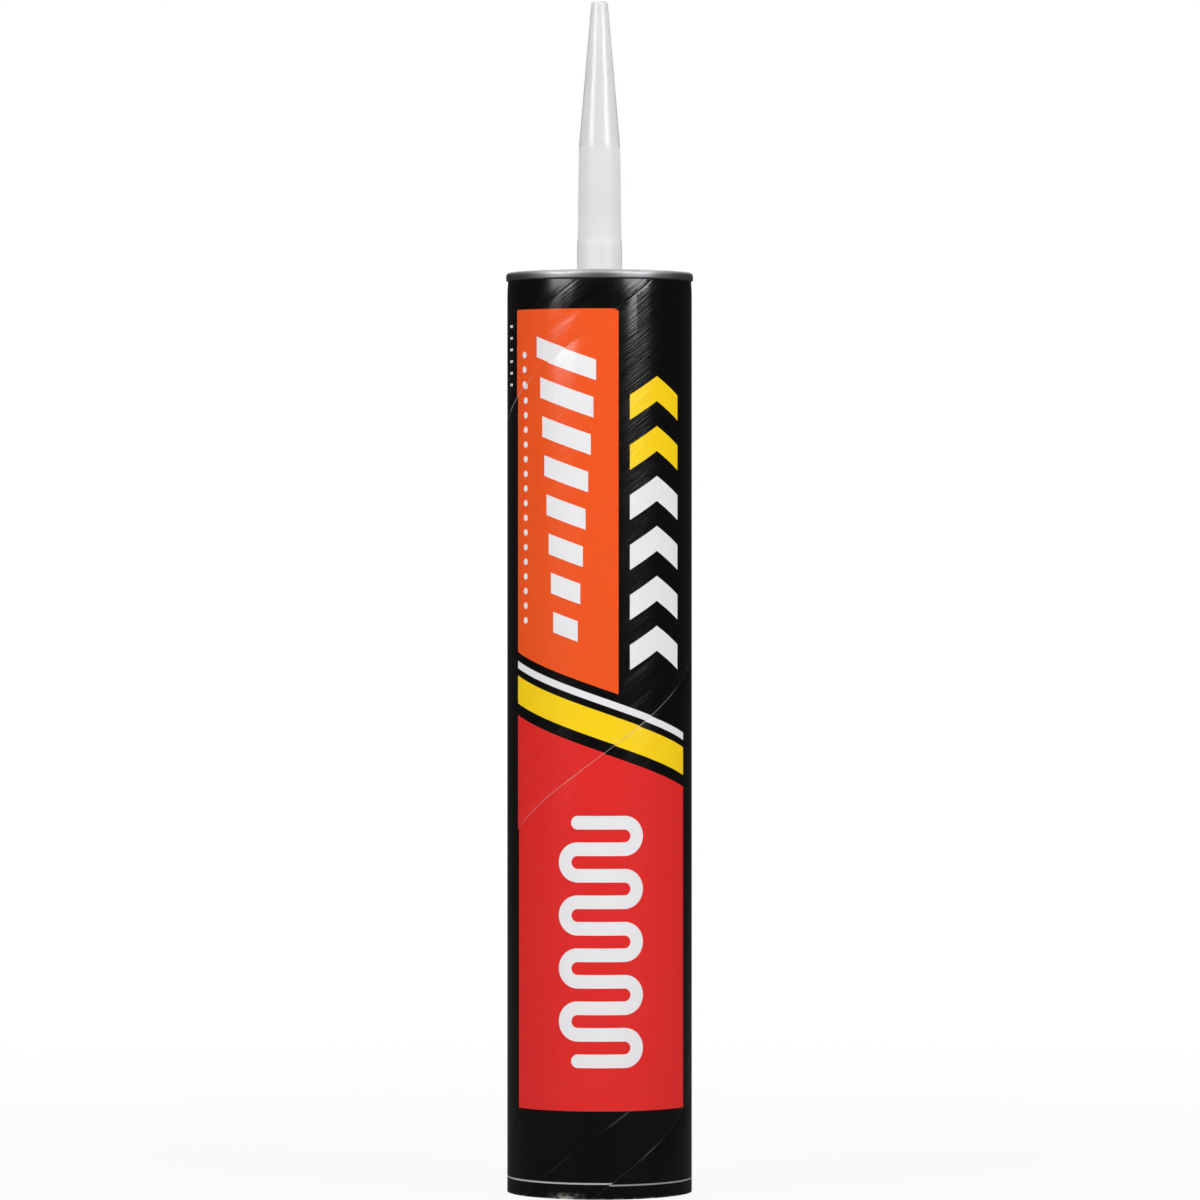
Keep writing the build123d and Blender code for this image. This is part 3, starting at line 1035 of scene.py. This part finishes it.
def makeWorld():
    world = bpy.data.worlds.new("studioWorld")
    bpy.context.scene.world = world
    world.use_nodes = True
    tree = world.node_tree
    tree.nodes.clear()
    path = addNode(tree, "ShaderNodeLightPath").outputs
    seen = maths(tree, "MAXIMUM", path["Is Camera Ray"], path["Is Transmission Ray"])
    direction = addNode(tree, "ShaderNodeTexCoord").outputs["Generated"]
    axes = addNode(tree, "ShaderNodeSeparateXYZ", inputs={0: direction}).outputs
    # glossy surfaces see a white ceiling, brighter to both sides, the backdrop, and a dim room in front
    sideways = maths(tree, "ABSOLUTE", axes["X"])
    lobes = both(tree, ramp(tree, sideways, 0.08, 0.35, 0.6, 1.7),
                 ramp(tree, sideways, 0.65, 0.85, 1.0, 0.2))
    forward = maths(tree, "MAXIMUM", ramp(tree, axes["Y"], 0.0, 0.5, 1.0, 0.12),
                    ramp(tree, axes["Z"], 0.65, 0.85))
    ceiling = maths(tree, "MAXIMUM", both(tree, ramp(tree, axes["Z"], 0.25, 0.5), lobes, forward), 0.03)
    backdrop = both(tree, ramp(tree, axes["Z"], 0.25, 0.5), ramp(tree, axes["Y"], 0.5, 0.8),
                    ramp(tree, sideways, 0.25, 0.45, 1.0, 0.0))
    room = maths(tree, "MAXIMUM", ceiling, backdrop)
    around = ramp(tree, axes["Z"], -0.1, -0.05, 0.8, studio["ambient"])
    ambient = addNode(tree, "ShaderNodeBackground", inputs={"Strength": around})
    glossy = addNode(tree, "ShaderNodeBackground", inputs={"Strength": room})
    white = addNode(tree, "ShaderNodeBackground", inputs={"Strength": 1.0})
    for node in (ambient, glossy, white):
        node.inputs["Color"].default_value = (1, 1, 1, 1)
    lit = mixShaders(tree, path["Is Glossy Ray"], ambient, glossy)
    mix = mixShaders(tree, seen, lit, white)
    addNode(tree, "ShaderNodeOutputWorld", inputs={"Surface": mix.outputs[0]})


def makeLights():
    for k, (x, y, z, size, power) in enumerate(studio["boxes"]):
        deselectAll()
        bpy.ops.object.light_add(type="AREA", location=(x, y, z))
        lamp = bpy.context.object
        lamp.name = "softbox" + str(k + 1)
        lamp.data.shape = "SQUARE"
        lamp.data.size = size
        lamp.data.energy = power
        flat = Vector((studio["aim"][0] - x, studio["aim"][1] - y, 0))
        lamp.rotation_euler = flat.to_track_quat("-Z", "Y").to_euler()


def makeCamera():
    deselectAll()
    bpy.ops.object.camera_add(location=studio["camera"], rotation=(math.pi / 2, 0, 0))
    camera = bpy.context.object
    camera.data.sensor_width = 36.0
    camera.data.lens = studio["lens"]
    camera.data.shift_y = studio["shift"]
    camera.data.clip_end = 50.0
    bpy.context.scene.camera = camera


makeFloor()
makeWorld()
makeLights()
makeCamera()
bpy.context.scene.view_settings.view_transform = "Standard"
print("studio ready")
